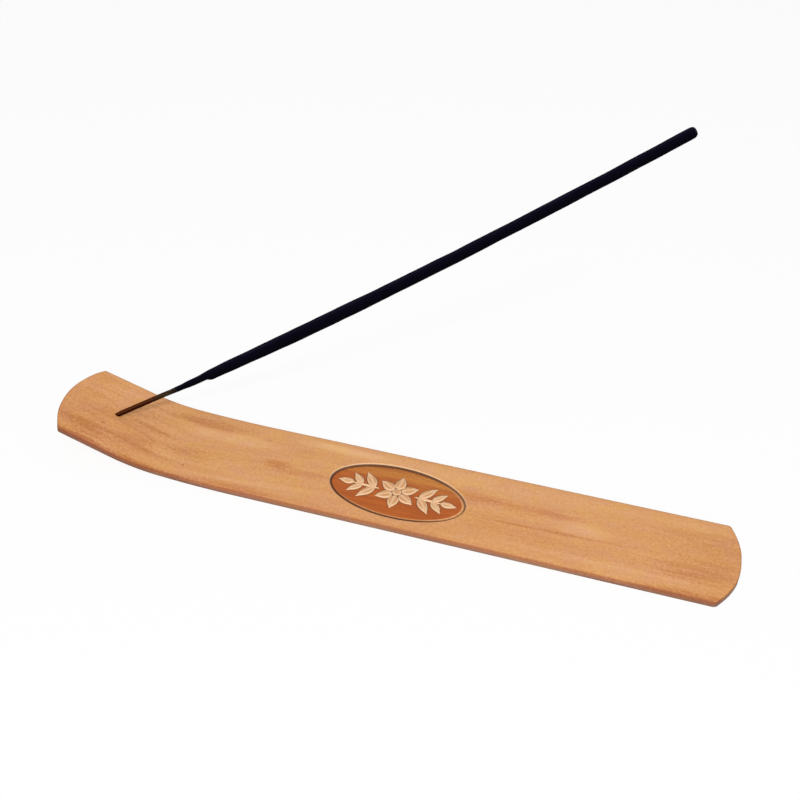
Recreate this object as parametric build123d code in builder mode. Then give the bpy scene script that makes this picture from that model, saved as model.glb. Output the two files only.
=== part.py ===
from build123d import *
import os
from math import cos, degrees, pi, radians, sin

# Incense stick holder: a thin wooden strip bent up at the nose, with one stick in a raking hole.
# Sizes are in millimetres and degrees. X runs from the nose to the flat end, Z is up, the strip's
# underside lies on Z = 0, and the origin is under the middle of its length.

# Wooden strip, measured along its top face
board_width = 36.4
board_thickness = 2.75
flat_length = 175.9
gentle_bend_radius = 445.0
gentle_bend_angle = 4.06
tight_bend_radius = 79.0
tight_bend_angle = 14.56
nose_length = 26.5
nose_end_width = 34.7
flat_end_sagitta = 5.05
nose_end_sagitta = 6.1
flat_corner_radius = 1.8
nose_corner_radius = 0.6
edge_radius = 0.4

# Oval panel in the top face, measured at the root of a V groove that goes round a lowered floor
oval_from_flat_end = 120.6
oval_off_centre = -0.95
oval_tilt = -2.2
oval_length = 50.5
oval_width = 25.1
outer_flank_width = 0.7
inner_flank_width = 1.2
groove_depth = 0.85
oval_floor_depth = 0.55

# Incense stick
hole_from_nose_tip = 20.75
stick_elevation = 34.4
stick_reach = 239.6
bow_radius = 2840.0
core_diameter = 1.7
tail_chamfer = 0.2
hole_clearance = 0.05
tail_above_table = 0.3

# Paste coat: thickness of paste on the splint, and the lengths between its stations
coat_start = 27.6
coat_bore_clearance = 0.02
coat_sections = 40
film_thickness = 0.14
neck_length = 15.0
neck_thickness = 0.32
shoulder_length = 14.0
shoulder_thickness = 1.12
swell_length = 30.0
swell_thickness = 1.33
taper_length = 85.0
taper_thickness = 0.84
tip_thickness = 0.62
tip_cover = 3.0

# Places that follow from the sizes above
nose_tilt = gentle_bend_angle + tight_bend_angle
tilt_cos = cos(radians(nose_tilt))
tilt_sin = sin(radians(nose_tilt))
gentle_run = gentle_bend_radius * sin(radians(gentle_bend_angle))
tight_run = tight_bend_radius * (tilt_sin - sin(radians(gentle_bend_angle)))
gentle_rise = gentle_bend_radius * (1 - cos(radians(gentle_bend_angle)))
tight_rise = tight_bend_radius * (cos(radians(gentle_bend_angle)) - tilt_cos)
top_run = flat_length + gentle_run + tight_run + nose_length * tilt_cos
underside_lead = board_thickness * tilt_sin - edge_radius * (tilt_cos + tilt_sin - 1)
flat_end_x = (top_run + underside_lead) / 2
bend_start_x = flat_end_x - flat_length
nose_tip_x = flat_end_x - top_run
nose_tip_z = board_thickness + gentle_rise + tight_rise + nose_length * tilt_sin
clear_past = 2 * board_thickness

# The nose's top face at its tip: local x points out along the nose, local z out of the face
nose_plane = Plane(
    origin=(nose_tip_x, 0, nose_tip_z),
    x_dir=(-tilt_cos, 0, tilt_sin),
    z_dir=(tilt_sin, 0, tilt_cos),
)

# The stick's axis through the hole, from the point where it meets the nose's top face
stick_direction = Vector(cos(radians(stick_elevation)), 0, sin(radians(stick_elevation)))
stick_entry = nose_plane.from_local_coords(Vector(-hole_from_nose_tip, 0, 0))
stick_plane = Plane(origin=stick_entry, z_dir=stick_direction)
tail_end_z = tail_above_table + core_diameter / 2 * stick_direction.X
tail_length = (stick_entry.Z - tail_end_z) / stick_direction.Z

os.makedirs("parts", exist_ok=True)


def stands_up(edge):
    """True for an edge that joins the strip's two faces."""
    middle = edge % 0.5
    return abs(middle.Z) > abs(middle.X) + abs(middle.Y)


# Bent strip
with BuildPart() as holder_board:
    with BuildSketch(Plane.XZ) as side_profile:
        with BuildLine() as top_line:
            flat_run = Line((flat_end_x, board_thickness), (bend_start_x, board_thickness))
            gentle_bend = JernArc(flat_run @ 1, flat_run % 1, gentle_bend_radius, -gentle_bend_angle)
            tight_bend = JernArc(gentle_bend @ 1, gentle_bend % 1, tight_bend_radius, -tight_bend_angle)
            PolarLine(tight_bend @ 1, nose_length, direction=tight_bend % 1)
            offset(amount=board_thickness, side=Side.LEFT)
        make_face()
    extrude(amount=board_width / 2, both=True)

    # Plan: parallel sides, a shallow arc across the flat end, sides that draw in along the nose
    with BuildSketch(Plane.XY) as plan:
        with BuildLine() as plan_outline:
            flat_end_arc = SagittaArc(
                (flat_end_x - flat_end_sagitta, -board_width / 2),
                (flat_end_x - flat_end_sagitta, board_width / 2),
                -flat_end_sagitta,
            )
            side = Line(flat_end_arc @ 1, (bend_start_x, board_width / 2))
            draw_in = TangentArc(side @ 1, (nose_tip_x, nose_end_width / 2), tangent=side % 1)
            waste_side = Line(draw_in @ 1, (nose_tip_x - clear_past, nose_end_width / 2))
            mirror([side, draw_in, waste_side], about=Plane.XZ)
            Line(waste_side @ 1, (nose_tip_x - clear_past, -nose_end_width / 2))
        make_face()
    extrude(amount=nose_tip_z, mode=Mode.INTERSECT)

    # Nose end: an arc cut square to the nose
    with BuildSketch(nose_plane) as nose_waste:
        with BuildLine() as nose_arc:
            nose_cut = ThreePointArc(
                (-nose_end_sagitta, -board_width / 2), (0, 0), (-nose_end_sagitta, board_width / 2)
            )
            Polyline(
                nose_cut @ 1,
                (clear_past, board_width / 2),
                (clear_past, -board_width / 2),
                nose_cut @ 0,
            )
        make_face()
    extrude(amount=clear_past, both=True, mode=Mode.SUBTRACT)

    # Rounded corners, then the sanded edge all round both faces
    fillet(holder_board.edges().filter_by(stands_up).group_by(Axis.X)[-1], radius=flat_corner_radius)
    fillet(holder_board.edges().filter_by(stands_up).group_by(Axis.X)[0], radius=nose_corner_radius)
    wall_edges = holder_board.edges().filter_by(stands_up)
    across_edges = holder_board.edges().filter_by(Axis.Y)
    fillet(holder_board.edges() - wall_edges - across_edges, radius=edge_radius)

    # Oval panel: the groove's outer flank is cut first, then its floor is put back
    oval_plane = Plane(
        origin=(flat_end_x - oval_from_flat_end, oval_off_centre, board_thickness),
        x_dir=(cos(radians(oval_tilt)), sin(radians(oval_tilt)), 0),
        z_dir=(0, 0, 1),
    )
    with BuildSketch(oval_plane) as groove_mouth:
        Ellipse(oval_length / 2 + outer_flank_width, oval_width / 2 + outer_flank_width)
    with BuildSketch(oval_plane.offset(-groove_depth)) as groove_root:
        Ellipse(oval_length / 2, oval_width / 2)
    loft(mode=Mode.SUBTRACT)
    with BuildSketch(oval_plane.offset(-groove_depth)) as floor_root:
        Ellipse(oval_length / 2, oval_width / 2)
    with BuildSketch(oval_plane.offset(-oval_floor_depth)) as floor_top:
        Ellipse(oval_length / 2 - inner_flank_width, oval_width / 2 - inner_flank_width)
    loft()

    # Raking hole through the nose
    with BuildSketch(stick_plane) as hole_section:
        Circle(core_diameter / 2 + hole_clearance)
    extrude(amount=clear_past, both=True, mode=Mode.SUBTRACT)

# Centre line of the stick from the board's face to its domed tip, and of the splint inside it
tip_radius = core_diameter / 2 + tip_thickness
dome_start = stick_reach - tip_radius
with BuildLine(Plane.XZ) as stick_line:
    JernArc(
        (stick_entry.X, stick_entry.Z),
        (stick_direction.X, stick_direction.Z),
        bow_radius,
        degrees(dome_start / bow_radius),
    )
with BuildLine(Plane.XZ) as core_line:
    tail = PolarLine(
        (stick_entry.X - tail_length * stick_direction.X, tail_end_z), tail_length, stick_elevation
    )
    JernArc(tail @ 1, tail % 1, bow_radius, degrees((stick_reach - tip_cover) / bow_radius))


def square_to(line, along):
    """The plane square to a line at a share of its length."""
    return Plane(origin=line @ along, x_dir=(0, 1, 0), z_dir=line % along)


# Bamboo splint: straight through the hole, then a slight upward bow
with BuildPart() as bamboo_core:
    with BuildSketch(square_to(core_line.line, 0)) as core_section:
        Circle(core_diameter / 2)
    sweep(path=core_line.line)
    chamfer(bamboo_core.faces().sort_by(Axis.Z)[0].edges(), length=tail_chamfer)

# Paste coat: round sections square to the bowed splint, a rounded tip and a bore for the splint
neck_end = coat_start + neck_length
shoulder_end = neck_end + shoulder_length
swell_end = shoulder_end + swell_length
taper_end = swell_end + taper_length
paste_stations = [
    (coat_start, film_thickness),
    (neck_end, neck_thickness),
    (shoulder_end, shoulder_thickness),
    (swell_end, swell_thickness),
    (taper_end, taper_thickness),
    (dome_start, tip_thickness),
]


def paste_thickness(distance):
    """Paste on the splint at a distance from the board, eased from each station to the next."""
    for (start, start_paste), (end, end_paste) in zip(paste_stations, paste_stations[1:]):
        if distance <= end:
            share = (distance - start) / (end - start)
            return start_paste + (end_paste - start_paste) * (1 - cos(pi * share)) / 2
    return tip_thickness


with BuildPart() as incense_coat:
    for section in range(coat_sections + 1):
        distance = coat_start + (dome_start - coat_start) * section / coat_sections
        with BuildSketch(square_to(stick_line.line, distance / dome_start)) as coat_section:
            Circle(core_diameter / 2 + paste_thickness(distance))
    loft(ruled=True)
    dome_plane = Plane(origin=stick_line.line @ 1, x_dir=stick_line.line % 1, z_dir=(0, -1, 0))
    with BuildSketch(dome_plane) as dome_section:
        with BuildLine() as dome_outline:
            dome_arc = CenterArc((0, 0), tip_radius, start_angle=0, arc_size=90)
            Polyline(dome_arc @ 1, (0, 0), dome_arc @ 0)
        make_face()
    revolve(axis=Axis(dome_plane.origin, dome_plane.x_dir))
    with BuildSketch(square_to(core_line.line, 0)) as bore_section:
        Circle(core_diameter / 2 + coat_bore_clearance)
    sweep(path=core_line.line, mode=Mode.SUBTRACT)

holder_board.part.label = "holder_board"
bamboo_core.part.label = "bamboo_core"
incense_coat.part.label = "incense_coat"
export_step(holder_board.part, "parts/holder_board.step")
export_step(bamboo_core.part, "parts/bamboo_core.step")
export_step(incense_coat.part, "parts/incense_coat.step")
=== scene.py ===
from math import atan2, copysign, cos, exp, pi, radians, sin, sqrt, tan

import bmesh
import bpy
from mathutils import Matrix, Vector, noise


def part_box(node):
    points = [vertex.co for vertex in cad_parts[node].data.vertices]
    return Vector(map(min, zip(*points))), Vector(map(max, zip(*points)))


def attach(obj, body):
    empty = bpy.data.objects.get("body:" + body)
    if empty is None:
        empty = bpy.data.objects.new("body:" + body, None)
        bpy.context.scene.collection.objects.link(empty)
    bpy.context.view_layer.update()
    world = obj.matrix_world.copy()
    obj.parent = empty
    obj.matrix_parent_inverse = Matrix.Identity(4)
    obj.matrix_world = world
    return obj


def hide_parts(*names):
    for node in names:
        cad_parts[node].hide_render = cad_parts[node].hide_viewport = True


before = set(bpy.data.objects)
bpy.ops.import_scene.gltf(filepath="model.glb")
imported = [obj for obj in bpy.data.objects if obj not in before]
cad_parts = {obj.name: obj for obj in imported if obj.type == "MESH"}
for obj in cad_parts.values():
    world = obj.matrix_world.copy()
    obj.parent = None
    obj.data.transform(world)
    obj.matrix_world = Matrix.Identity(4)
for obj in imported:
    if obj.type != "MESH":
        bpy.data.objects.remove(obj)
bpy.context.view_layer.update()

# Holder board: one thin strip of pale hardwood, with a shallow arc cut across each end. It is steamed
# and bent up at the nose, first slowly and then more tightly, sanded soft along its edges and oiled.
# It lies free on the table.
MM = 0.001
board_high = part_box("holder_board")[1]
half_width = board_high.y
thickness = 2.75 * MM

# Runs along the strip, and the radius and angle of each bend
flat_run = 175.9 * MM
gentle_bend = (445.0 * MM, radians(4.06))
tight_bend = (79.0 * MM, radians(14.56))
nose_run = 26.5 * MM
nose_draw_in = 0.62 * MM

# Both end cuts are arcs made by hand, a little full or short in places
nose_end_radius = 30.2 * MM
nose_setback = 0.085 * MM
nose_far_fill, far_fill_from, far_fill_to = 0.45 * MM, 9.0 * MM, 17.0 * MM
nose_near_fill, near_fill_from, near_fill_to = 0.2 * MM, 5.0 * MM, 10.0 * MM
nose_lean, nose_lean_run = 0.33 * MM, 10.0 * MM
flat_end_radius = 35.3 * MM
flat_end_fall, fall_from, fall_curve = 1.65 * MM, 6.0 * MM, 1.35
flat_end_rise, rise_from, rise_to = 0.25 * MM, 2.0 * MM, 8.0 * MM

# Corners and edges are eased by sanding
nose_corner = 0.4 * MM
far_corner = 0.9 * MM
near_corner = 1.0 * MM
edge_round = 0.22 * MM
sanding_width = 2.6 * MM
sanding_depth = 0.06 * MM
sharp_angle = radians(40)

# Rows and columns of quads
rows_across = 20
edge_crowding = 1.15
flat_end_block = 16.0 * MM
merge_distance = 0.01 * MM

tight_length = tight_bend[0] * tight_bend[1]
gentle_length = gentle_bend[0] * gentle_bend[1]
bend_from_tip = nose_run + tight_length + gentle_length
strip_length = bend_from_tip + flat_run
bend_start_x = board_high.x - flat_run

# The oval is cut into the flat face and lies a little askew, as on the real strip
oval_from_flat_end = 120.6 * MM
oval_off_centre = -0.95 * MM
oval_centre = Vector((strip_length - oval_from_flat_end, oval_off_centre, thickness))
oval_turn = radians(-2.2)
oval_half_length = 25.25 * MM
oval_half_width = 12.55 * MM
oval_border = 0.3 * MM
outer_flank = 0.7 * MM
inner_flank = 1.2 * MM
groove_depth = 0.85 * MM
oval_floor_depth = 0.55 * MM
groove_ease = 0.1 * MM
oval_block = 33.0 * MM
oval_block_rows = 16

# The hole for the stick rakes through the nose towards the tip
hole_from_tip = 20.75 * MM
hole_radius = 0.9 * MM
stick_rake = radians(34.4)
hole_slope = stick_rake + gentle_bend[1] + tight_bend[1]
hole_block_from, hole_block_to = 13.2 * MM, nose_run
hole_block_columns = 6
hole_block_rows = 6
rim_reach = 1.5 * hole_radius
seam_slack = 0.01


def face_up(turned):
    """Direction out of the strip's face where the strip has turned up by an angle."""
    return Vector((sin(turned), 0, cos(turned)))


def bent(flat):
    """Place, once the strip is bent, of a point of the flat strip measured from the nose tip."""
    to_go = bend_from_tip - flat.x
    drawn_in = nose_draw_in * (max(to_go, 0.0) / bend_from_tip) ** 2
    place = Vector((bend_start_x, flat.y * (1 - drawn_in / half_width), thickness))
    turned = 0.0
    for radius, angle in (gentle_bend, tight_bend):
        turn = min(max(to_go / radius, 0.0), angle)
        place += radius * (face_up(turned) - face_up(turned + turn))
        to_go -= turn * radius
        turned += turn
    place += to_go * Vector((-cos(turned), 0, sin(turned)))
    return place + (flat.z - thickness) * face_up(turned)


def arc_sag(radius, across):
    """How far an arc across the strip falls back from its crown."""
    return radius - sqrt(radius**2 - across**2)


def ramped(value, low, high):
    """Share of the way from low to high, eased at both ends."""
    share = min(max((value - low) / (high - low), 0.0), 1.0)
    return share * share * (3 - 2 * share)


def column_at(station, across):
    """Distance from the nose tip of one point of a column; the two end columns follow the arcs.

    The nose's arc is a little fuller towards both corners. The flat end's arc is a little fuller on
    the far side, and is sanded back towards its near corner.
    """
    if station == 0:
        far_fill = nose_far_fill * ramped(across, far_fill_from, far_fill_to)
        near_fill = nose_near_fill * ramped(-across, near_fill_from, near_fill_to)
        return nose_setback + arc_sag(nose_end_radius, across) - far_fill - near_fill
    if station == strip_length:
        past = max(-across - fall_from, 0.0) / (half_width - fall_from)
        fullness = flat_end_rise * ramped(across, rise_from, rise_to) - flat_end_fall * past**fall_curve
        return strip_length - arc_sag(flat_end_radius, across) + fullness
    return station


def crowded(share):
    """A share of the way to an edge, drawn out so that even steps crowd towards the edge."""
    return 1 - (1 - share) ** edge_crowding


def row_at(rows):
    """Half the width of the strip that so many middle rows of quads cover."""
    return half_width * crowded(rows / rows_across)


def edge_distance(flat):
    """Distance from a point of the flat strip to the nearest part of its outline."""
    from_nose = flat.x - column_at(0, flat.y)
    from_flat_end = column_at(strip_length, flat.y) - flat.x
    return min(half_width - abs(flat.y), from_nose, from_flat_end)


def plain_sheet(bm):
    """Upper face of the flat strip in quads: rows crowd towards the edges, columns follow the bends."""
    # Where each run of columns starts, and how many it has
    columns = [
        (0, 8),
        (hole_block_from, hole_block_columns),
        (hole_block_to, 16),
        (nose_run + tight_length, 12),
        (bend_from_tip, 6),
        (oval_centre.x - oval_block, 44),
        (oval_centre.x + oval_block, 12),
        (strip_length - flat_end_block, 5),
        (strip_length, 0),
    ]
    for (start, count), (stop, _) in zip(columns, columns[1:]):
        made = bmesh.ops.create_grid(bm, x_segments=count, y_segments=rows_across, size=0.5)
        for vert in made["verts"]:
            share = vert.co.x + 0.5
            if start == 0:
                share = 1 - crowded(1 - share)
            if stop == strip_length:
                share = crowded(share)
            across = copysign(row_at(abs(vert.co.y) * 2 * rows_across), vert.co.y)
            along = column_at(start, across) * (1 - share) + column_at(stop, across) * share
            vert.co = (along, across, thickness)
    bmesh.ops.remove_doubles(bm, verts=bm.verts, dist=merge_distance)
    for corner in [v for v in bm.verts if len(v.link_edges) == 2]:
        size = near_corner if corner.co.y < 0 else far_corner
        if corner.co.x < bend_from_tip:
            size = nose_corner
        bmesh.ops.bevel(
            bm, geom=[corner], offset=size, affect="VERTICES", segments=6, profile=0.5, material=-1
        )


def open_block(bm, start, stop, reach):
    """Takes the quads of one block out of the upper face and returns the edges round the opening."""
    faces = []
    for face in bm.faces:
        middle = face.calc_center_median()
        on_top = abs(middle.z - thickness) < merge_distance
        if on_top and start < middle.x < stop and abs(middle.y) < reach:
            faces.append(face)
    inner = set(faces)
    rim = [e for f in faces for e in f.edges if sum(g in inner for g in e.link_faces) == 1]
    bmesh.ops.delete(bm, geom=faces, context="FACES_KEEP_BOUNDARY")
    return [e for e in rim if e.is_valid]


def loop_edges(verts):
    """The edges of a closed loop, from its points."""
    ring = set(verts)
    edges = {e for v in verts for e in v.link_edges}
    return [e for e in edges if ring.issuperset(e.verts)]


def round_the_hole(vert):
    """Angle of a point round the hole's mouth, counted from just before the strip's centre line."""
    return (atan2(vert.co.y, vert.co.x - hole_from_tip) + seam_slack) % (2 * pi)


board = bmesh.new()
plain_sheet(board)

# Hole: the edges round an opening in the upper face, drawn in to the hole's slanting mouth
block_column = (hole_block_to - hole_block_from) / hole_block_columns
hole_rim = open_block(
    board, hole_block_from + block_column, hole_block_to - block_column, row_at(hole_block_rows)
)
hole_mouth = Vector((hole_from_tip, 0, thickness))
made = bmesh.ops.extrude_edge_only(board, edges=hole_rim)
upper_rim = [v for v in made["geom"] if isinstance(v, bmesh.types.BMVert)]
upper_rim.sort(key=round_the_hole)
for step, vert in enumerate(upper_rim):
    around = 2 * pi * step / len(upper_rim)
    vert.co = hole_mouth + hole_radius * Vector((cos(around) / sin(hole_slope), sin(around), 0))

# Body: the face drawn down to the strip's thickness, the hole's lower rim shifted along the rake
made = bmesh.ops.extrude_face_region(board, geom=board.faces[:], use_keep_orig=True)
underside = [v for v in made["geom"] if isinstance(v, bmesh.types.BMVert)]
bmesh.ops.translate(board, verts=underside, vec=(0, 0, -thickness))
lower_rim = [v for v in underside if (v.co - hole_mouth).xy.length < rim_reach]
bmesh.ops.translate(board, verts=lower_rim, vec=(-thickness / tan(hole_slope), 0, 0))
for edge in loop_edges(lower_rim) + loop_edges(upper_rim):
    edge.smooth = False
bmesh.ops.recalc_face_normals(board, faces=board.faces)
sharp_edges = [e for e in board.edges if e.calc_face_angle(0) > sharp_angle]
bmesh.ops.bevel(
    board,
    geom=[e for e in sharp_edges if edge_distance(e.verts[0].co) < near_corner],
    offset=edge_round,
    affect="EDGES",
    segments=4,
    profile=0.5,
    material=-1,
    loop_slide=True,
)

# Oval: a ring of quads round an ellipse, sunk twice to leave a V groove about a lower floor
oval_rim = open_block(
    board, oval_centre.x - oval_block, oval_centre.x + oval_block, row_at(oval_block_rows)
)
oval_place = Matrix.Translation(oval_centre) @ Matrix.Rotation(oval_turn, 4, "Z")
border = outer_flank + oval_border
made = bmesh.ops.create_circle(
    board,
    cap_ends=True,
    segments=len(oval_rim),
    radius=1.0,
    matrix=oval_place @ Matrix.Diagonal((oval_half_length + border, oval_half_width + border, 1, 1)),
)
oval_floor = made["verts"][0].link_faces[0]
if oval_floor.normal.z < 0:
    oval_floor.normal_flip()
bmesh.ops.bridge_loops(board, edges=oval_rim + list(oval_floor.edges))
groove_edges = []
floor_rise = groove_depth - oval_floor_depth
for inset, depth in ((oval_border, 0.0), (outer_flank, -groove_depth), (inner_flank, floor_rise)):
    bmesh.ops.inset_individual(
        board, faces=[oval_floor], thickness=inset, depth=depth, use_even_offset=True
    )
    groove_edges += list(oval_floor.edges)
bmesh.ops.bevel(
    board,
    geom=groove_edges,
    offset=groove_ease,
    affect="EDGES",
    segments=3,
    profile=0.5,
    material=-1,
)
oval_floor = max(board.faces, key=lambda face: len(face.verts))
bmesh.ops.inset_individual(board, faces=[oval_floor], thickness=oval_border, depth=0.0)

# Carving: a rosette between two leafy sprays, left standing on the oval's floor up to the face
petals = 6
petal_foot, petal_length, petal_half_breadth = 1.5 * MM, 6.7 * MM, 2.3 * MM
boss_radius = 1.9 * MM
stem_from, stem_length, stem_half_breadth = 6.6 * MM, 12.0 * MM, 0.9 * MM
end_leaf_from, end_leaf_length, end_leaf_half_breadth = 16.4 * MM, 6.2 * MM, 1.8 * MM
leaf_fullness, leaf_bluntness = 0.75, 0.8
leaf_end_slope = 3.0
leaf_sink = 0.4 * MM
leaf_vein = 0.26 * MM
vein_width = 0.42 * MM
vein_shade = 0.7
cut_line = 0.3 * MM
cut_line_rise = 0.1
carved_slope = 0.45 * MM
carved_span = 1.1 * MM
breadth_span, tip_span = 1.1, 0.1 * MM

# Leaves in pairs along a stem: place on it, spread in degrees, length and half breadth
spray_leaves = (
    (8.4 * MM, 52, 8.4 * MM, 2.0 * MM),
    (13.2 * MM, 46, 6.8 * MM, 1.7 * MM),
)
carved_layer = board.verts.layers.float.new("carved")
carving_stand = oval_place @ Matrix.Translation((0, 0, -oval_floor_depth))


def carved_leaf(bm, foot, heading, length, half_breadth, vein):
    """One raised leaf, pointed at its tip, with a cut line about it and a vein along its back."""
    made = bmesh.ops.create_uvsphere(
        bm, u_segments=24, v_segments=20, radius=1.0, matrix=Matrix.Rotation(pi / 2, 4, "Y")
    )
    stand = carving_stand @ Matrix.Translation(foot) @ Matrix.Rotation(heading, 4, "Z")
    for vert in made["verts"]:
        share = min((1 + vert.co.x) / 2, 1.0)
        girth = max(sqrt(1 - min(vert.co.x**2, 1)), 1e-4)
        sideways = vert.co.y / girth
        upward = vert.co.z / girth
        breadth = half_breadth * sin(pi * share**leaf_fullness) ** leaf_bluntness
        from_end = leaf_end_slope * length * min(share, 1 - share)
        inside = min((1 - abs(sideways)) * breadth, from_end)
        raised = cut_line_rise * ramped(inside, 0, cut_line)
        raised += (1 - cut_line_rise) * ramped(inside, cut_line, cut_line + carved_slope)
        in_vein = raised * exp(-((sideways * breadth / vein_width) ** 2))
        in_vein *= ramped(breadth, vein_width, 3 * vein_width)
        height = oval_floor_depth * raised - vein * in_vein
        if upward < 0:
            height = leaf_sink * upward
        span = min(carved_span, breadth_span * breadth + tip_span)
        # The carved value places the painted highlight on the rounded edges and the painted shadow in
        # the cut line and vein
        vert[carved_layer] = 1 + min(inside / span, 1) - vein_shade * in_vein * vein / leaf_vein
        vert.co = stand @ Vector((length * share, breadth * sideways, height))


for petal in range(petals):
    heading = 2 * pi * (petal + 0.5) / petals
    foot = petal_foot * Vector((cos(heading), sin(heading), 0))
    carved_leaf(board, foot, heading, petal_length, petal_half_breadth, leaf_vein)
for spray in (0.0, pi):
    outwards = Vector((cos(spray), sin(spray), 0))
    carved_leaf(board, stem_from * outwards, spray, stem_length, stem_half_breadth, 0.0)
    carved_leaf(
        board, end_leaf_from * outwards, spray, end_leaf_length, end_leaf_half_breadth, leaf_vein
    )
    for along, spread, length, half_breadth in spray_leaves:
        for side in (-1, 1):
            heading = spray + side * radians(spread)
            carved_leaf(board, along * outwards, heading, length, half_breadth, leaf_vein)
made = bmesh.ops.create_uvsphere(board, u_segments=24, v_segments=16, radius=1.0)
boss_size = Vector((boss_radius, boss_radius, oval_floor_depth))
for vert in made["verts"]:
    # The boss's carved value places a painted highlight on its edge and a painted shadow at its foot
    vert[carved_layer] = 1 + min((1 - vert.co.xy.length) * boss_radius / carved_span, 1)
    vert.co = carving_stand @ (vert.co * boss_size)

# The flat coordinates stay with the points, so that the grain follows the bend
board.normal_update()
strip_layer = board.verts.layers.float_vector.new("strip")
wall_layer = board.verts.layers.float.new("wall")
rim_layer = board.verts.layers.float.new("rim")
end_grain_layer = board.verts.layers.float.new("end_grain")
for vert in board.verts:
    inside = edge_distance(vert.co)
    vert[strip_layer] = vert.co
    vert[rim_layer] = inside
    vert[wall_layer] = 1 - abs(vert.normal.z) if inside < sanding_width else 0.0
    vert[end_grain_layer] = vert[wall_layer] * abs(vert.normal.x)
    sanded = sanding_depth * max(1 - inside / sanding_width, 0.0) ** 2
    vert.co.z = thickness / 2 + (vert.co.z - thickness / 2) * (1 - 2 * sanded / thickness)
    at_tip = max(1 - vert.co.x / nose_lean_run, 0.0)
    vert.co.x -= nose_lean * at_tip * vert.co.z / thickness
for vert in board.verts:
    vert.co = bent(vert.co)


def finished_piece(name, bm, material):
    """Turns a bmesh into a smooth-shaded object with one material."""
    mesh = bpy.data.meshes.new(name)
    for face in bm.faces:
        face.smooth = True
    bm.to_mesh(mesh)
    bm.free()
    mesh.materials.append(material)
    piece = bpy.data.objects.new(name, mesh)
    bpy.context.scene.collection.objects.link(piece)
    return piece


def add_node(tree, kind, inputs=None, **settings):
    """Adds a shader node; its inputs are values, or the output sockets of other nodes."""
    made = tree.nodes.new(kind)
    for name, value in settings.items():
        setattr(made, name, value)
    for socket, value in (inputs or {}).items():
        if isinstance(value, bpy.types.NodeSocket):
            tree.links.new(value, made.inputs[socket])
        else:
            made.inputs[socket].default_value = value
    return made


def calculate(tree, how, *values):
    """Output of a math node on values or sockets."""
    return add_node(tree, "ShaderNodeMath", dict(enumerate(values)), operation=how).outputs[0]


def calculate_vector(tree, how, *values):
    """Vector output of a vector math node on values or sockets."""
    return add_node(tree, "ShaderNodeVectorMath", dict(enumerate(values)), operation=how).outputs[0]


def length_of(tree, vector):
    """Length of a vector socket."""
    return add_node(tree, "ShaderNodeVectorMath", {0: vector}, operation="LENGTH").outputs["Value"]


def axes_of(tree, vector):
    """The X, Y and Z of a vector socket."""
    return add_node(tree, "ShaderNodeSeparateXYZ", {0: vector}).outputs


def turned_flat(tree, vector, angle):
    """A vector socket turned about the upright axis."""
    inputs = {"Vector": vector, "Angle": angle}
    return add_node(tree, "ShaderNodeVectorRotate", inputs, rotation_type="Z_AXIS").outputs[0]


def carried(tree, layer, output="Fac"):
    """What a piece's points carry in one of their layers."""
    return add_node(tree, "ShaderNodeAttribute", attribute_name=layer).outputs[output]


def eased(tree, value, low, high):
    """A value's share of the way from low to high, with soft ends."""
    inputs = {"Value": value, "From Min": low, "From Max": high}
    made = add_node(tree, "ShaderNodeMapRange", inputs, interpolation_type="SMOOTHSTEP")
    return made.outputs["Result"]


def mixed(tree, share, first, second, how="MIX"):
    """Colour output of a mix of two colours."""
    inputs = {0: share, 6: first, 7: second}
    return add_node(tree, "ShaderNodeMix", inputs, data_type="RGBA", blend_type=how).outputs[2]


def shade(red, green, blue):
    """A colour in linear light, from its red, green and blue as they look on a screen."""
    return tuple(((part / 255 + 0.055) / 1.055) ** 2.4 for part in (red, green, blue)) + (1,)


def new_material(name):
    """A material with a Principled shader, and that shader."""
    material = bpy.data.materials.new(name)
    material.use_nodes = True
    return material, material.node_tree.nodes["Principled BSDF"]


def dress(tree, shader, colour, roughness, specular, relief):
    """Gives a shader its colour, roughness, specular level and relief (strength, depth and height)."""
    strength, depth, height = relief
    bump = add_node(tree, "ShaderNodeBump", {"Strength": strength, "Distance": depth, "Height": height})
    tree.links.new(colour, shader.inputs["Base Color"])
    tree.links.new(roughness, shader.inputs["Roughness"])
    tree.links.new(bump.outputs[0], shader.inputs["Normal"])
    shader.inputs["Specular IOR Level"].default_value = specular


def new_group(name, inputs, output):
    """An empty shader node group with its sockets, and its two inner ends."""
    group = bpy.data.node_groups.new(name, "ShaderNodeTree")
    for socket, kind in inputs.items():
        group.interface.new_socket(socket, in_out="INPUT", socket_type=kind)
    group.interface.new_socket(output, in_out="OUTPUT", socket_type="NodeSocketFloat")
    return group, group.nodes.new("NodeGroupInput"), group.nodes.new("NodeGroupOutput")


# Grain streaks: noise drawn out along the fibres, used on the wood, the bamboo and the rolled paste
grain_streaks, given, result = new_group(
    "grain_streaks",
    {
        "Place": "NodeSocketVector",
        "Along": "NodeSocketFloat",
        "Across": "NodeSocketFloat",
        "Variety": "NodeSocketFloat",
    },
    "Streak",
)
stretch = add_node(
    grain_streaks,
    "ShaderNodeCombineXYZ",
    {"X": given.outputs["Along"], "Y": given.outputs["Across"], "Z": given.outputs["Across"]},
).outputs[0]
streak_noise = add_node(
    grain_streaks,
    "ShaderNodeTexNoise",
    {
        "Vector": calculate_vector(grain_streaks, "MULTIPLY", given.outputs["Place"], stretch),
        "W": given.outputs["Variety"],
        "Scale": 1.0,
        "Detail": 3.0,
        "Roughness": 0.55,
    },
    noise_dimensions="4D",
).outputs[0]
streak = add_node(
    grain_streaks,
    "ShaderNodeMapRange",
    {"Value": streak_noise, "From Min": 0.3, "From Max": 0.7},
)
grain_streaks.links.new(streak.outputs["Result"], result.inputs["Streak"])


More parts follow.
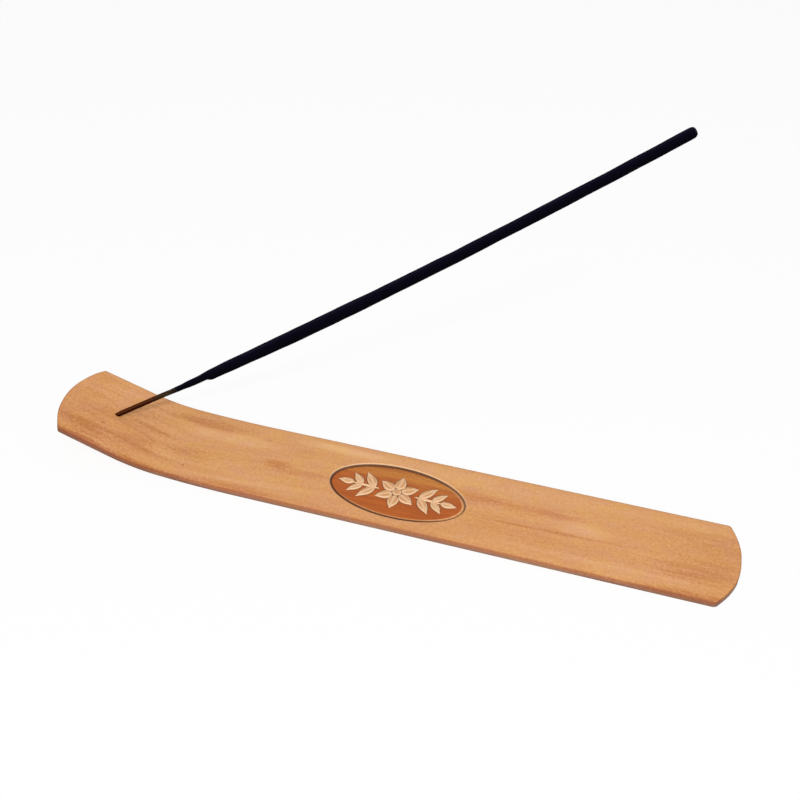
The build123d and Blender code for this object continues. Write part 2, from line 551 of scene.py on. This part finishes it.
def streaks(tree, place, along, across, variety):
    """Value of the grain streaks, with so many to the metre along and across the fibres."""
    made = add_node(tree, "ShaderNodeGroup", node_tree=grain_streaks)
    for socket, value in (("Along", along), ("Across", across), ("Variety", variety)):
        made.inputs[socket].default_value = value
    tree.links.new(place, made.inputs["Place"])
    return made.outputs["Streak"]


# Soft patch: one ragged-edged oval of darker, lighter or redder wood
soft_patch, given, result = new_group(
    "soft_patch",
    {
        "Place": "NodeSocketVector",
        "Centre": "NodeSocketVector",
        "Reach": "NodeSocketVector",
        "Turn": "NodeSocketFloat",
        "Waver": "NodeSocketFloat",
    },
    "Mask",
)
patch_edge, patch_core = 1.15, 0.2
from_centre = calculate_vector(soft_patch, "SUBTRACT", given.outputs["Place"], given.outputs["Centre"])
turned_place = turned_flat(soft_patch, from_centre, given.outputs["Turn"])
in_reach = calculate_vector(soft_patch, "DIVIDE", turned_place, given.outputs["Reach"])
how_far = calculate(soft_patch, "ADD", length_of(soft_patch, in_reach), given.outputs["Waver"])
soft_patch.links.new(eased(soft_patch, how_far, patch_edge, patch_core), result.inputs["Mask"])

wood, wood_shader = new_material("oiled_hardwood")
tree = wood.node_tree
strip_place = carried(tree, "strip", "Vector")
strip_axes = axes_of(tree, strip_place)

# The grain wanders a little from side to side
grain_wander = 5.0 * MM
wander = streaks(tree, strip_place, 14, 30, 9.4)
wander = calculate(tree, "MULTIPLY_ADD", wander, grain_wander, -grain_wander / 2)
wander = add_node(tree, "ShaderNodeCombineXYZ", {"Y": wander}).outputs[0]
grain_place = calculate_vector(tree, "ADD", strip_place, wander)
broad_grain = streaks(tree, grain_place, 14, 150, 1.3)
middle_grain = streaks(tree, grain_place, 45, 420, 4.1)
fibres = streaks(tree, grain_place, 240, 1500, 7.7)
mottle = streaks(tree, strip_place, 960, 1100, 2.9)

# Each grain darkens and lightens the wood about a middle tone
grain_strengths = ((broad_grain, 0.15), (middle_grain, 0.13), (fibres, 0.13), (mottle, 0.36))
tone = 0.5 - sum(strength for _, strength in grain_strengths) / 2
for grain, strength in grain_strengths:
    tone = calculate(tree, "MULTIPLY_ADD", grain, strength, tone)
redness = streaks(tree, grain_place, 12, 110, 6.2)
redness = calculate(tree, "MULTIPLY_ADD", redness, 0.3, -0.05)

# Figure of this one piece of wood: place from the nose tip and across, half length and half breadth
# in millimetres, turn in degrees, then how much lighter and how much redder
wood_figure = (
    (12, -6, 40, 18, 0, -0.14, 0.0),
    (252, 0, 26, 26, 0, -0.14, 0.0),
    (24, -18.2, 44, 2.0, 0, -0.4, 0.2),
    (238, -18.2, 44, 1.8, 0, -0.3, 0.2),
    # The next row is a painted light band along the nose's near edge, where the sanded edge rolls over
    (33, -15.2, 26, 1.5, -2, 0.06, -0.3),
    (15, -11.2, 11, 7.8, 0, -0.1, 0.3),
    (31, -9.2, 11, 7.8, 0, -0.1, 0.34),
    (25, -5, 11, 2.4, 0, 0.2, 0.0),
    (32.5, 1.2, 9.5, 1.4, 5, -0.2, -0.1),
    (53, 12.4, 22, 2.8, -3, -0.32, 0.1),
    (70, 7.5, 19, 3.6, -3, 0.22, 0.0),
    (96, -2.4, 13, 2.6, 0, -0.05, 0.45),
    (86.5, -0.6, 7, 2.8, 4, -0.14, 0.75),
    (84, -12.7, 40, 1.8, -5.4, 0.18, 0.0),
    (74, -16.8, 18, 2.6, 0, -0.1, 0.6),
    (108, 14.2, 20, 2.6, 0, 0.3, 0.15),
    (161, 5, 14, 5.6, 0, -0.05, 0.45),
    (177, 4.4, 27, 2.2, 0, -0.1, 0.5),
    (202, 0.8, 11, 4.4, 4, 0.18, -0.6),
    (191, -3.6, 30, 0.9, -2, -0.26, 0.2),
    (238, -7, 16, 5.6, 0, -0.07, 0.3),
    (240, 14, 15, 2.6, 0, 0.12, -0.3),
    (210, -13, 46, 1.3, 0, 0.13, 0.0),
    (162, 13.6, 106, 5.0, 0, 0.13, -0.1),
    (7, -12, 15, 7, 0, -0.16, 0.0),
    (7, 12, 13, 7, 0, -0.14, 0.0),
    (53, -6.5, 11, 3.4, 0, -0.24, 0.0),
    (53, 7, 10, 3.0, 0, 0.16, 0.0),
    (178, -5, 20, 7, 0, 0.02, 0.26),
    (128, -18, 160, 2.2, 0, -0.03, 0.35),
    (18, -6.7, 0.9, 0.5, 0, -0.5, 0.6),
    (79, 10.7, 0.9, 0.5, 0, -0.3, 0.4),
    (54, -12.3, 0.9, 0.5, 0, -0.4, 0.9),
)
waver = calculate(tree, "MULTIPLY_ADD", mottle, 0.3, -0.5)
waver = calculate(tree, "MULTIPLY_ADD", middle_grain, 0.7, waver)
for along, across, half_length, half_breadth, turn, lighter, redder in wood_figure:
    patch = add_node(tree, "ShaderNodeGroup", node_tree=soft_patch)
    patch.inputs["Centre"].default_value = (along * MM, across * MM, 0)
    patch.inputs["Reach"].default_value = (half_length * MM, half_breadth * MM, 1)
    patch.inputs["Turn"].default_value = radians(turn)
    tree.links.new(strip_place, patch.inputs["Place"])
    tree.links.new(waver, patch.inputs["Waver"])
    tone = calculate(tree, "MULTIPLY_ADD", patch.outputs["Mask"], lighter, tone)
    redness = calculate(tree, "MULTIPLY_ADD", patch.outputs["Mask"], redder, redness)

dark_wood, middle_wood, light_wood = shade(184, 121, 70), shade(213, 154, 101), shade(231, 182, 132)
red_tint, golden_tint, rosy_tint = (0.9, 0.76, 0.72, 1), (1.02, 1.03, 0.84, 1), (1.0, 0.97, 1.1, 1)
wood_colour = mixed(tree, calculate(tree, "MULTIPLY", tone, 2.0), dark_wood, middle_wood)
wood_colour = mixed(tree, calculate(tree, "MULTIPLY_ADD", tone, 2.0, -1.0), wood_colour, light_wood)
wood_colour = mixed(tree, redness, wood_colour, red_tint, "MULTIPLY")
warm_tint = mixed(tree, streaks(tree, grain_place, 150, 260, 3.6), golden_tint, rosy_tint)
wood_colour = mixed(tree, 1.0, wood_colour, warm_tint, "MULTIPLY")

# Next to the edges the face is painted darker as shade on the rounded edges. The cut walls are painted
# darker than the face as shade, and darker and bluer towards the foot as painted contact shadow. The
# end grain is darker again, partly its own colour and partly painted shade.
edge_shade_tint, end_grain_and_shade_tint = (0.7, 0.64, 0.6, 1), (0.72, 0.7, 0.74, 1)
wall_top_shade, wall_foot_shadow = (0.835, 0.675, 0.615, 1), (0.555, 0.73, 1.3, 1)
# Painted shade along the rounded edges
edge_shade = eased(tree, carried(tree, "rim"), 0.55 * MM, 0.1 * MM)
wood_colour = mixed(tree, edge_shade, wood_colour, edge_shade_tint, "MULTIPLY")
# Painted shade on the walls, deepening to painted contact shadow at their foot
low_down = eased(tree, strip_axes["Z"], thickness, 0)
wall_shade = mixed(tree, low_down, wall_top_shade, wall_foot_shadow)
on_wall = eased(tree, carried(tree, "wall"), 0.02, 0.6)
wood_colour = mixed(tree, on_wall, wood_colour, wall_shade, "MULTIPLY")
# End grain: its own darker colour with painted shade
on_end_grain = eased(tree, carried(tree, "end_grain"), 0.2, 0.6)
wood_colour = mixed(tree, on_end_grain, wood_colour, end_grain_and_shade_tint, "MULTIPLY")

# The hole's mouth is darkened: soot and dye from the sticks, with painted contact shadow where the
# stick enters
soot_and_shade_brown, mouth_darkening = shade(64, 34, 20), 0.35
mouth_shade_centre = hole_mouth + Vector((0.35 * MM, 0, 0))
mouth_scale = (sin(hole_slope) / hole_radius, 1 / hole_radius, 0)
from_hole = calculate_vector(tree, "SUBTRACT", strip_place, mouth_shade_centre)
hole_share = length_of(tree, calculate_vector(tree, "MULTIPLY", from_hole, mouth_scale))
soot_and_shade = calculate(tree, "MULTIPLY", eased(tree, hole_share, 1.15, 0.95), mouth_darkening)
wood_colour = mixed(tree, soot_and_shade, wood_colour, soot_and_shade_brown)

# Stain on the oval's floor, golden towards the rear and red-brown elsewhere. The groove's root is
# painted dark as shade, with some stain in it, and the outer flank is painted pale as fresh-cut wood
# with a painted highlight.
red_brown, golden_brown, dark_streak = shade(182, 94, 33), shade(196, 127, 58), shade(152, 72, 27)
fresh_cut_and_highlight, groove_shade_brown = shade(222, 180, 138), shade(78, 42, 22)

# Depths below the face at which each colour of the oval starts and is full. The painted shade on the
# groove's inner side starts deeper down on the right, which is painted as lit, and less deep on the
# near side, which is painted as shaded.
stain_from, stain_full = 0.15 * MM, 0.35 * MM
floor_edge_from, floor_edge_full = 0.57 * MM, 0.62 * MM
flank_from, flank_full = 0.02 * MM, 0.14 * MM
outer_root_from, outer_root_full = 0.3 * MM, 0.45 * MM
inner_root_from, inner_root_full = 0.66 * MM, 0.8 * MM
lit_right_drop, shaded_near_rise = 0.06 * MM, 0.07 * MM

oval_reach = (oval_half_length, oval_half_width, 1)
from_oval = calculate_vector(tree, "SUBTRACT", strip_place, oval_centre)
oval_share = calculate_vector(tree, "DIVIDE", turned_flat(tree, from_oval, -oval_turn), oval_reach)
oval_axes = axes_of(tree, oval_share)
oval_radius = length_of(tree, oval_share)
in_oval = eased(tree, oval_radius, 1.1, 1.08)
depth = calculate(tree, "SUBTRACT", thickness, strip_axes["Z"])
plain_wood = wood_colour
# The floor's edge towards the right and near side keeps the pale wood: a painted highlight
lit_side = eased(tree, calculate(tree, "SUBTRACT", oval_axes["X"], oval_axes["Y"]), -0.6, 0.6)
lit_floor_edge = eased(tree, depth, floor_edge_from, floor_edge_full)
lit_floor_edge = calculate(tree, "MULTIPLY", lit_floor_edge, lit_side)
sunk = calculate(tree, "SUBTRACT", eased(tree, depth, stain_from, stain_full), lit_floor_edge)
sunk = calculate(tree, "MULTIPLY", sunk, eased(tree, oval_radius, 1.0, 0.99))
stain = mixed(tree, eased(tree, oval_axes["Y"], 0.1, 0.8), red_brown, golden_brown)
stain_streaks = eased(tree, calculate(tree, "MULTIPLY_ADD", mottle, 0.35, middle_grain), 0.3, 1.1)
stain = mixed(tree, calculate(tree, "MULTIPLY", stain_streaks, 0.6), stain, dark_streak)
wood_colour = mixed(tree, sunk, wood_colour, stain)
# The outer flank is painted pale: fresh-cut wood with a painted highlight
past_root = calculate(tree, "MULTIPLY", eased(tree, oval_radius, 0.998, 1.004), in_oval)
pale_flank_highlight = calculate(tree, "MULTIPLY", past_root, eased(tree, depth, flank_from, flank_full))
wood_colour = mixed(tree, pale_flank_highlight, wood_colour, fresh_cut_and_highlight)
# The groove's root is painted dark: painted shade, with some stain
outer_root_shade = eased(tree, depth, outer_root_from, outer_root_full)
outer_root_shade = calculate(tree, "MULTIPLY", past_root, outer_root_shade)
lit_right_side = eased(tree, oval_axes["X"], 0.3, 0.9)
shaded_near_side = eased(tree, oval_axes["Y"], -0.2, -0.8)
shade_depth = calculate(tree, "MULTIPLY_ADD", lit_right_side, -lit_right_drop, depth)
shade_depth = calculate(tree, "MULTIPLY_ADD", shaded_near_side, shaded_near_rise, shade_depth)
inner_root_shade = eased(tree, shade_depth, inner_root_from, inner_root_full)
inner_root_shade = calculate(tree, "MULTIPLY", inner_root_shade, in_oval)
groove_shade = calculate(tree, "MAXIMUM", outer_root_shade, inner_root_shade)
wood_colour = mixed(tree, calculate(tree, "MULTIPLY", groove_shade, 0.92), wood_colour, groove_shade_brown)

# The carved leaves keep the pale wood on top, with a painted highlight where their edges round over,
# and a painted shadow in the cut line about them and along their veins
carved_wood, edge_highlight, cut_line_shadow = shade(200, 152, 106), shade(229, 188, 146), shade(98, 54, 30)
carved = carried(tree, "carved")
carved_colour = mixed(tree, 0.5, plain_wood, carved_wood)
carved_colour = mixed(tree, eased(tree, carved, 1.88, 1.52), carved_colour, edge_highlight)
carved_colour = mixed(tree, eased(tree, carved, 1.4, 1.12), carved_colour, cut_line_shadow)
wood_colour = mixed(tree, calculate(tree, "GREATER_THAN", carved, 0.5), wood_colour, carved_colour)

roughness = calculate(tree, "MULTIPLY_ADD", fibres, 0.14, 0.5)
roughness = calculate(tree, "MULTIPLY_ADD", groove_shade, 0.35, roughness)
wood_relief = calculate(tree, "MULTIPLY_ADD", mottle, 0.6, fibres)
dress(tree, wood_shader, wood_colour, roughness, 0.3, (0.2, 0.06 * MM, wood_relief))

bent_board = finished_piece("bent_board", board, wood)
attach(bent_board, "holder")
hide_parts("holder_board")

# Bamboo splint: the core of the incense stick, split from a cane, drawn nearly round and dyed brown.
# The dye is built up on the bare stretch above the strip. The foot is pushed through the raking hole,
# and the splint bows up a little along its length.
splint_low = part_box("bamboo_core")[0]
splint_radius = 0.85 * MM
bow_radius = 2840.0 * MM
stick_reach = 239.6 * MM
tip_cover = 3.0 * MM
splint_sides, splint_rings = 24, 240
splint_flats = 0.03
wear_run, wear_fineness = 9.0 * MM, 0.9
dye_build = 0.09 * MM
dye_from, dye_full = 0.5 * MM, 1.3 * MM
dye_thins, dye_ends = 26.0 * MM, 34.0 * MM
foot_chamfer = 0.2 * MM
stick_foot = bent(hole_mouth)
tail = (stick_foot.z - splint_low.z - splint_radius * cos(stick_rake)) / sin(stick_rake)


def on_stick(run, outward):
    """A point near the stick: how far along from the strip's face, and how far out from the axis."""
    heading = stick_rake + max(run, 0.0) / bow_radius
    rise = Vector((sin(heading) - sin(stick_rake), 0, cos(stick_rake) - cos(heading)))
    axis = stick_foot + bow_radius * rise
    axis += min(run, 0.0) * Vector((cos(stick_rake), 0, sin(stick_rake)))
    return axis + Vector((-outward.y * sin(heading), outward.x, outward.y * cos(heading)))


def rod(bm, segments, rings):
    """A plain rod of unit radius from height 0 to 1, cut into rings."""
    bmesh.ops.create_cone(
        bm,
        cap_ends=True,
        segments=segments,
        radius1=1.0,
        radius2=1.0,
        depth=1.0,
        matrix=Matrix.Translation((0, 0, 0.5)),
    )
    long_edges = [e for e in bm.edges if abs(e.verts[0].co.z - e.verts[1].co.z) > 0.5]
    bmesh.ops.subdivide_edges(bm, edges=long_edges, cuts=rings - 1, use_grid_fill=True)


def unevenness(along, around, fineness):
    """A smooth random value at a place on the stick, from how far along and where round it lies."""
    return noise.noise(Vector((along, around.x * fineness, around.y * fineness)))


splint = bmesh.new()
rod(splint, splint_sides, splint_rings)
splint_layer = splint.verts.layers.float_vector.new("splint")
splint_length = tail + stick_reach - tip_cover
for vert in splint.verts:
    round_place = vert.co.xy
    run = splint_length * vert.co.z - tail
    worn = unevenness(run / wear_run, round_place, wear_fineness)
    radius = splint_radius * (1 - splint_flats * (0.5 + 0.5 * worn))
    if vert.co.z == 0:
        radius -= foot_chamfer
    vert[splint_layer] = (run, round_place.x * splint_radius, round_place.y * splint_radius)
    dyed = dye_build * ramped(run, dye_from, dye_full) * (1 - ramped(run, dye_thins, dye_ends))
    vert.co = on_stick(run, round_place * (radius + dyed) + Vector((0, dyed)))

bamboo, bamboo_shader = new_material("dyed_bamboo")
tree = bamboo.node_tree
inner_cane, lit_cane_skin, cane_band = shade(38, 4, 0), shade(86, 44, 18), shade(46, 10, 3)
smoked_cane = shade(52, 40, 27)
smoked_from, smoked_full = 16.0 * MM, 30.0 * MM
# The side towards the lamps and camera is painted lighter: partly the cane's skin, partly a painted lit
# side
lit_skin_direction = (0, -0.7, 0.714)
splint_place = carried(tree, "splint", "Vector")
splint_axes = axes_of(tree, splint_place)
cane_fibres = streaks(tree, splint_place, 70, 2600, 3.3)
cane_bands = streaks(tree, splint_place, 160, 500, 8.8)
towards_lit_skin = add_node(
    tree, "ShaderNodeVectorMath", {0: splint_place, 1: lit_skin_direction}, operation="DOT_PRODUCT"
).outputs["Value"]
lit_skin_side = eased(tree, towards_lit_skin, 0.7 * splint_radius, 1.0 * splint_radius)
lit_skin_side = calculate(tree, "SUBTRACT", lit_skin_side, 0.2)
lit_skin_side = calculate(tree, "MULTIPLY_ADD", cane_fibres, 0.4, lit_skin_side)
cane_colour = mixed(tree, lit_skin_side, inner_cane, lit_cane_skin)
cane_colour = mixed(tree, calculate(tree, "MULTIPLY", cane_bands, 0.4), cane_colour, cane_band)
smoked = eased(tree, splint_axes["X"], smoked_from, smoked_full)
cane_colour = mixed(tree, smoked, cane_colour, smoked_cane)
cane_roughness = calculate(tree, "MULTIPLY_ADD", cane_bands, 0.2, 0.6)
dress(tree, bamboo_shader, cane_colour, cane_roughness, 0.01, (0.4, 0.1 * MM, cane_fibres))
bamboo_splint = finished_piece("bamboo_splint", splint, bamboo)
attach(bamboo_splint, "stick")
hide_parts("bamboo_core")

# Paste coat: charcoal and perfume worked to a paste and rolled on the splint while wet. It starts as
# a ragged film, swells past a lip on its underside, thins towards the top and ends in a blunt tip.
paste_start = 27.6 * MM
paste_sides, paste_rings = 36, 460
dome_share, dome_sweep = 0.03, radians(84)
tip_fullness = 0.45
tip_setback = 0.35 * MM
film_rag, rag_variety, rag_fineness = 1.6 * MM, 3.1, 1.6
lip_delay = 5.0 * MM
lip_from, lip_at, lip_to = 43.5 * MM, 49.3 * MM, 51.6 * MM
lip_swell, swell_to = 0.24 * MM, 60.0 * MM
lumps, lump_run, lump_fineness = 0.085 * MM, 7.5 * MM, 1.1
grit, grit_run, grit_fineness = 0.014 * MM, 0.9 * MM, 3.5
lumpy_from = 0.5 * MM

# Stations along the stick from the strip's face, and the thickness of paste there, in millimetres
paste_build = (
    (27.6, 0.02),
    (36.0, 0.18),
    (40.5, 0.38),
    (43.6, 0.42),
    (53.0, 0.95),
    (62.0, 1.16),
    (84.0, 1.33),
    (112.0, 1.31),
    (143.0, 1.04),
    (189.0, 0.82),
    (225.0, 0.73),
    (240.0, 0.62),
)


def paste_thickness(run):
    """Thickness of the paste at a distance along the stick."""
    run = min(max(run / MM, paste_build[0][0]), paste_build[-1][0])
    for (start, thin), (stop, thick) in zip(paste_build, paste_build[1:]):
        if run <= stop:
            return MM * (thin + (thick - thin) * ramped(run, start, stop))


coat = bmesh.new()
rod(coat, paste_sides, paste_rings)
coat_layer = coat.verts.layers.float_vector.new("coat")
tip_radius = splint_radius + paste_thickness(stick_reach)
dome_start = stick_reach - tip_radius - tip_setback
for vert in coat.verts:
    outward = vert.co.xy
    share = min(vert.co.z / (1 - dome_share), 1.0)
    ragged = film_rag * (1 - share) * unevenness(rag_variety, outward, rag_fineness)
    run = paste_start + ragged + (dome_start - paste_start) * share
    below = max(-outward.y, 0.0) ** 0.5
    held_back = lip_delay * ramped(run, lip_from, lip_at) * (1 - ramped(run, lip_at, lip_to))
    swollen = lip_swell * ramped(run, lip_at, lip_to) * (1 - ramped(run, lip_to, swell_to))
    radius = splint_radius + paste_thickness(run - held_back * below) + swollen * below
    built_up = min(paste_thickness(run) / lumpy_from, 1.0)
    lump = unevenness(run / lump_run, outward, lump_fineness)
    grain = unevenness(run / grit_run, outward, grit_fineness)
    radius += built_up * (lumps * lump + grit * grain)
    into_dome = max(vert.co.z - (1 - dome_share), 0.0) / dome_share * dome_sweep
    vert[coat_layer] = (run, outward.x * splint_radius, outward.y * splint_radius)
    radius *= cos(into_dome) ** tip_fullness
    vert.co = on_stick(run + tip_radius * sin(into_dome), outward * radius)

paste, paste_shader = new_material("charcoal_paste")
tree = paste.node_tree
charcoal, charcoal_grey, rolled_black = shade(1, 0, 8), shade(9, 7, 24), shade(4, 3, 16)
painted_top_light, underside_shade_black, film_brown = shade(20, 17, 32), shade(2, 0, 10), shade(54, 43, 30)
film_from, film_gone = 26.0 * MM, 34.0 * MM
paste_place = add_node(tree, "ShaderNodeTexCoord").outputs["Object"]
run_along = carried(tree, "coat", "Vector")
run_axes = axes_of(tree, run_along)
powder = add_node(
    tree,
    "ShaderNodeTexNoise",
    {"Vector": paste_place, "Scale": 2600.0, "Detail": 3.0, "Roughness": 0.65},
).outputs[0]
rolled = streaks(tree, run_along, 130, 900, 5.5)
paste_colour = mixed(tree, eased(tree, powder, 0.35, 0.75), charcoal, charcoal_grey)
paste_colour = mixed(tree, calculate(tree, "MULTIPLY", rolled, 0.5), paste_colour, rolled_black)

# The upper side is painted lighter as light from above, the lower side is painted blackest as shade,
# and the thin film at the start lets the cane show
top_light_share = eased(tree, run_axes["Z"], 0.62 * splint_radius, splint_radius)
top_light_share = calculate(tree, "MULTIPLY", top_light_share, calculate(tree, "MULTIPLY_ADD", rolled, 0.9, 0.55))
paste_colour = mixed(tree, top_light_share, paste_colour, painted_top_light)
underside_shade = eased(tree, run_axes["Z"], 0.55 * splint_radius, 0.0)
paste_colour = mixed(tree, underside_shade, paste_colour, underside_shade_black)
thin_film = calculate(tree, "MULTIPLY_ADD", rolled, -4 * MM, run_axes["X"])
thin_film = eased(tree, thin_film, film_gone, film_from)
paste_colour = mixed(tree, thin_film, paste_colour, film_brown)
paste_roughness = calculate(tree, "MULTIPLY_ADD", powder, 0.2, 0.75)
paste_relief = calculate(tree, "MULTIPLY_ADD", rolled, 0.6, powder)
dress(tree, paste_shader, paste_colour, paste_roughness, 0.02, (0.5, 0.1 * MM, paste_relief))
paste_coat = finished_piece("paste_coat", coat, paste)
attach(paste_coat, "stick")
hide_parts("incense_coat")

# Floor and light: a white table, a wide soft lamp and a small one, both in front and a little to the
# right, and pale light all round. The table shows nearly white to the camera and in reflections, and
# keeps a faint shadow.
floor_half_width = 3.0
floor_drop = 0.02 * MM
table_white, table_glow = (0.9, 0.9, 0.9, 1), 0.9
floor_sheet = bmesh.new()
bmesh.ops.create_grid(floor_sheet, x_segments=1, y_segments=1, size=floor_half_width)
bmesh.ops.translate(floor_sheet, verts=floor_sheet.verts, vec=(0, 0, -floor_drop))
table, table_shader = new_material("white_table")
tree = table.node_tree
table_shader.inputs["Base Color"].default_value = table_white
table_shader.inputs["Roughness"].default_value = 1.0
table_shader.inputs["Specular IOR Level"].default_value = 0.0


def seen_share(tree, share):
    """A share for rays from the camera, reflections and clear pieces, and 0 for the light itself."""
    rays = add_node(tree, "ShaderNodeLightPath").outputs
    seen = calculate(tree, "MAXIMUM", rays["Is Camera Ray"], rays["Is Glossy Ray"])
    seen = calculate(tree, "MAXIMUM", seen, rays["Is Transmission Ray"])
    return calculate(tree, "MULTIPLY", seen, share)


glow = add_node(tree, "ShaderNodeEmission", {"Color": (1, 1, 1, 1), "Strength": 1.0})
table_surface = add_node(
    tree,
    "ShaderNodeMixShader",
    {0: seen_share(tree, table_glow), 1: table_shader.outputs[0], 2: glow.outputs[0]},
)
tree.links.new(table_surface.outputs[0], tree.nodes["Material Output"].inputs["Surface"])
floor = finished_piece("floor", floor_sheet, table)

world = bpy.data.worlds.new("pale_room")
bpy.context.scene.world = world
world.use_nodes = True
tree = world.node_tree
room_light = 0.42
backdrop_level = 0.94
room = tree.nodes["Background"]
room.inputs["Color"].default_value = (1, 1, 1, 1)
room_level = calculate(tree, "ADD", seen_share(tree, backdrop_level - room_light), room_light)
tree.links.new(room_level, room.inputs["Strength"])

# Lamps: place in metres, power in watts and width in metres
lamps = (
    ("wide_lamp", (0.17, -0.79, 0.86), 7.9, 0.9),
    ("small_lamp", (0.29, -0.79, 0.86), 4.7, 0.07),
)
for name, lamp_place, power, width in lamps:
    light = bpy.data.lights.new(name, "AREA")
    light.energy = power
    light.size = width
    lamp = bpy.data.objects.new(name, light)
    lamp.location = lamp_place
    lamp.rotation_euler = Vector(lamp_place).to_track_quat("Z", "Y").to_euler()
    bpy.context.scene.collection.objects.link(lamp)

# Camera: where the photograph was taken from, found by fitting the strip's outline
camera_data = bpy.data.cameras.new("camera")
camera_data.lens = 47.79
camera_data.sensor_width = 36.0
camera_data.clip_start = 0.01
camera = bpy.data.objects.new("camera", camera_data)
camera.location = (0.09002, -0.26186, 0.27124)
camera.rotation_euler = (radians(50.533), 0, radians(17.641))
bpy.context.scene.collection.objects.link(camera)
bpy.context.scene.camera = camera
bpy.context.scene.view_settings.view_transform = "Standard"
